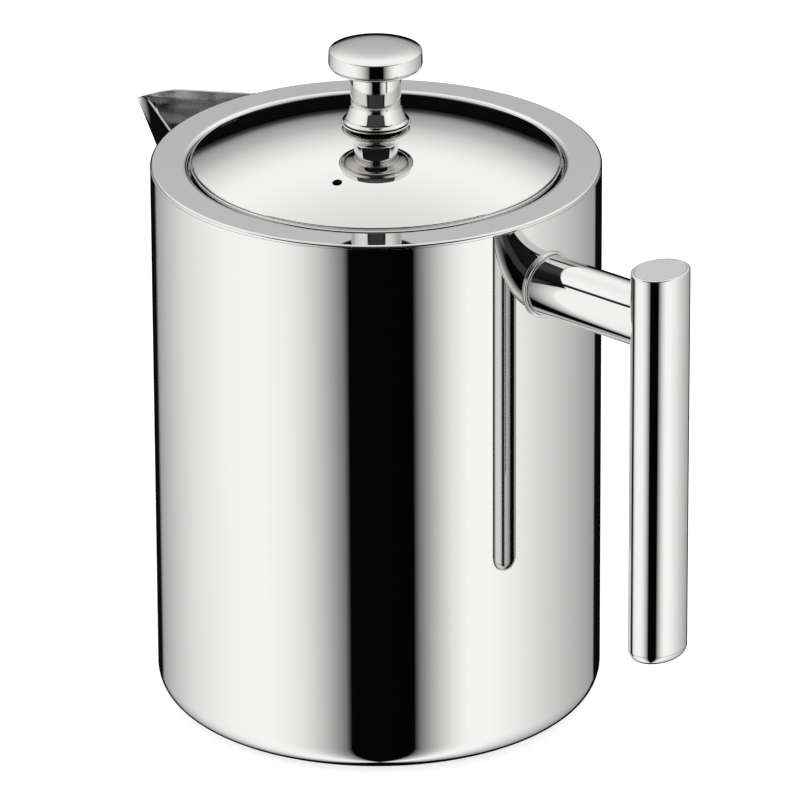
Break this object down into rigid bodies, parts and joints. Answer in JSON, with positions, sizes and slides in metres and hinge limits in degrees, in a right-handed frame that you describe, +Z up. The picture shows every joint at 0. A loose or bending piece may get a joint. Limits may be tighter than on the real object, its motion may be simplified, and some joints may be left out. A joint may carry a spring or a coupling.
{
  "type": "french press",
  "caption": "Double-walled french press in polished steel: drum body, beak spout, T-handle, domed lift-off lid and a knobbed plunger with a coil-edged mesh filter.",
  "frame": {"origin": "centre of the base's underside, on the table", "axes": "+Z up along the pot's axis, +X from the axis towards the handle, -X towards the spout, +Y to the left of the handle's direction"},
  "size_m": [0.1887, 0.118, 0.1813],
  "materials": {
    "polished_steel": "mirror-polished stainless steel",
    "satin_steel": "satin stainless steel",
    "gauze_steel": "woven stainless steel gauze",
    "seal_silicone": "matte silicone rubber"
  },
  "bodies": {
    "vessel": {"outer_shell": "polished_steel", "inner_liner": "satin_steel", "rim_ring": "polished_steel", "base_plate": "satin_steel", "port_collar": "satin_steel", "spout": "polished_steel", "handle_backing_plate": "satin_steel", "handle_collar": "polished_steel", "handle_arm": "polished_steel", "handle_grip": "polished_steel", "grip_top_cap": "satin_steel", "grip_end_cap": "polished_steel"},
    "seal": {"lid_seal": "seal_silicone"},
    "lid": {"lid_dome": "polished_steel", "lid_skirt": "polished_steel", "rod_bush": "polished_steel", "bush_nut": "satin_steel"},
    "plunger": {"knob": "polished_steel", "plunger_rod": "polished_steel", "rod_collar": "polished_steel", "spring_disc": "polished_steel", "edge_spring": "satin_steel", "mesh_screen": "gauze_steel", "cross_plate": "polished_steel", "hub_nut": "satin_steel"}
  },
  "joints": [
    {"name": "lid_lift", "type": "slide", "parent": "vessel", "child": "seal", "axis": [0, 0, 1], "range_m": [0, 0.145]},
    {"name": "lid_turn", "type": "hinge", "parent": "seal", "child": "lid", "pos_m": [0, 0, 0.1495], "axis": [0, 0, 1], "continuous": true},
    {"name": "plunger_travel", "type": "slide", "parent": "lid", "child": "plunger", "axis": [0, 0, 1], "range_m": [0, 0.108]}
  ]
}
